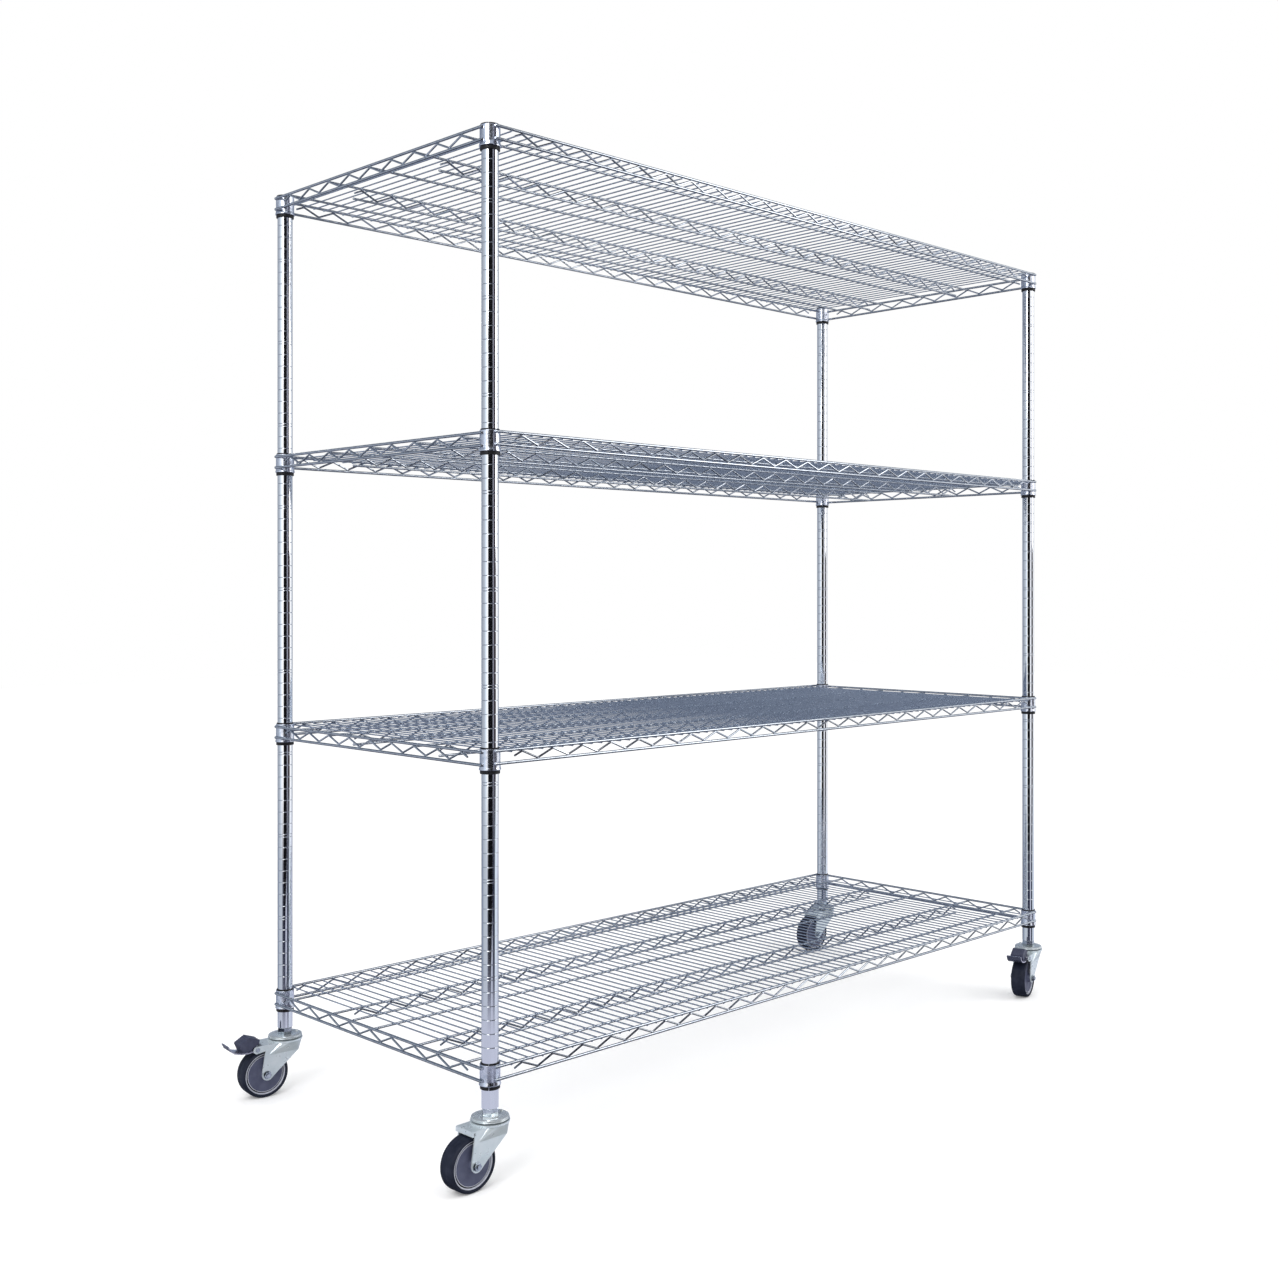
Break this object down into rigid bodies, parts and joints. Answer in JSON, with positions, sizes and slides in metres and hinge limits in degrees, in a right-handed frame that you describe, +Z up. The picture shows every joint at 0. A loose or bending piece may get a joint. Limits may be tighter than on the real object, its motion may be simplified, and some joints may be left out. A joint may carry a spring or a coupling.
{
  "type": "wire shelving rack",
  "caption": "Mobile rack of open chrome wire shelves clipped at set heights on grooved round posts, rolling on swivel stem casters, some with a foot brake.",
  "frame": {"origin": "on the floor under the middle of the whole outline, casters included", "axes": "+X along the length of the shelves, -Y towards the front, +Z up"},
  "size_m": [1.9505, 0.8073, 1.914],
  "materials": {
    "chrome_tube": "bright chrome plate",
    "chrome_wire": "bright chrome plate",
    "black_plastic": "moulded satin",
    "zinc_plate": "bright zinc plate",
    "bearing_steel": "bright zinc plate",
    "grey_plastic": "moulded satin",
    "tyre_rubber": "matte rubber"
  },
  "bodies": {
    "rack": {"post_front_left": "chrome_tube", "post_front_right": "chrome_tube", "post_rear_left": "chrome_tube", "post_rear_right": "chrome_tube", "post_caps": "black_plastic", "post_sockets": "black_plastic", "shelf_1_edge_wires": "chrome_wire", "shelf_1_truss_wires": "chrome_wire", "shelf_1_rib_wires": "chrome_wire", "shelf_1_deck_wires": "chrome_wire", "shelf_1_collars": "chrome_tube", "shelf_1_sleeves": "black_plastic", "shelf_2_edge_wires": "chrome_wire", "shelf_2_truss_wires": "chrome_wire", "shelf_2_rib_wires": "chrome_wire", "shelf_2_deck_wires": "chrome_wire", "shelf_2_collars": "chrome_tube", "shelf_2_sleeves": "black_plastic", "shelf_3_edge_wires": "chrome_wire", "shelf_3_truss_wires": "chrome_wire", "shelf_3_rib_wires": "chrome_wire", "shelf_3_deck_wires": "chrome_wire", "shelf_3_collars": "chrome_tube", "shelf_3_sleeves": "black_plastic", "shelf_4_edge_wires": "chrome_wire", "shelf_4_truss_wires": "chrome_wire", "shelf_4_rib_wires": "chrome_wire", "shelf_4_deck_wires": "chrome_wire", "shelf_4_collars": "chrome_tube", "shelf_4_sleeves": "black_plastic", "caster_front_left_stem": "zinc_plate", "caster_front_left_ball_race": "bearing_steel", "caster_front_right_stem": "zinc_plate", "caster_front_right_ball_race": "bearing_steel", "caster_rear_left_stem": "zinc_plate", "caster_rear_left_ball_race": "bearing_steel", "caster_rear_right_stem": "zinc_plate", "caster_rear_right_ball_race": "bearing_steel"},
    "front_left_swivel": {"caster_front_left_fork": "zinc_plate", "caster_front_left_axle_set": "bearing_steel"},
    "front_left_wheel": {"caster_front_left_hub": "grey_plastic", "caster_front_left_tyre": "tyre_rubber"},
    "front_right_swivel": {"caster_front_right_fork": "zinc_plate", "caster_front_right_axle_set": "bearing_steel"},
    "front_right_wheel": {"caster_front_right_hub": "grey_plastic", "caster_front_right_tyre": "tyre_rubber"},
    "rear_left_swivel": {"caster_rear_left_fork": "zinc_plate", "caster_rear_left_axle_set": "bearing_steel"},
    "rear_left_wheel": {"caster_rear_left_hub": "grey_plastic", "caster_rear_left_tyre": "tyre_rubber"},
    "rear_right_swivel": {"caster_rear_right_fork": "zinc_plate", "caster_rear_right_axle_set": "bearing_steel"},
    "rear_right_wheel": {"caster_rear_right_hub": "grey_plastic", "caster_rear_right_tyre": "tyre_rubber"},
    "front_right_pedal": {"caster_front_right_pedal": "zinc_plate", "caster_front_right_pad": "grey_plastic"},
    "rear_left_pedal": {"caster_rear_left_pedal": "zinc_plate", "caster_rear_left_pad": "grey_plastic"}
  },
  "joints": [
    {"name": "front_left_swivel", "type": "hinge", "parent": "rack", "child": "front_left_swivel", "pos_m": [-0.8451, -0.3576, 0.118], "axis": [0, 0, 1], "continuous": true},
    {"name": "front_left_roll", "type": "hinge", "parent": "front_left_swivel", "child": "front_left_wheel", "pos_m": [-0.89459, -0.35846, 0.05], "axis": [-0.0175, 0.9998, 0], "continuous": true},
    {"name": "front_right_swivel", "type": "hinge", "parent": "rack", "child": "front_right_swivel", "pos_m": [0.9371, -0.3576, 0.118], "axis": [0, 0, 1], "continuous": true},
    {"name": "front_right_roll", "type": "hinge", "parent": "front_right_swivel", "child": "front_right_wheel", "pos_m": [0.88952, -0.37124, 0.05], "axis": [-0.2756, 0.9613, 0], "continuous": true},
    {"name": "rear_left_swivel", "type": "hinge", "parent": "rack", "child": "rear_left_swivel", "pos_m": [-0.8451, 0.3576, 0.118], "axis": [0, 0, 1], "continuous": true},
    {"name": "rear_left_roll", "type": "hinge", "parent": "rear_left_swivel", "child": "rear_left_wheel", "pos_m": [-0.89423, 0.36363, 0.05], "axis": [0.1219, 0.9925, 0], "continuous": true},
    {"name": "rear_right_swivel", "type": "hinge", "parent": "rack", "child": "rear_right_swivel", "pos_m": [0.9371, 0.3576, 0.118], "axis": [0, 0, 1], "continuous": true},
    {"name": "rear_right_roll", "type": "hinge", "parent": "rear_right_swivel", "child": "rear_right_wheel", "pos_m": [0.8876, 0.3576, 0.05], "axis": [0, 1, 0], "continuous": true},
    {"name": "front_right_brake", "type": "hinge", "parent": "front_right_swivel", "child": "front_right_pedal", "pos_m": [0.86981, -0.37689, 0.106], "axis": [0.2756, -0.9613, 0], "range_deg": [0, 16]},
    {"name": "rear_left_brake", "type": "hinge", "parent": "rear_left_swivel", "child": "rear_left_pedal", "pos_m": [-0.91458, 0.36613, 0.106], "axis": [-0.1219, -0.9925, 0], "range_deg": [0, 16]}
  ]
}
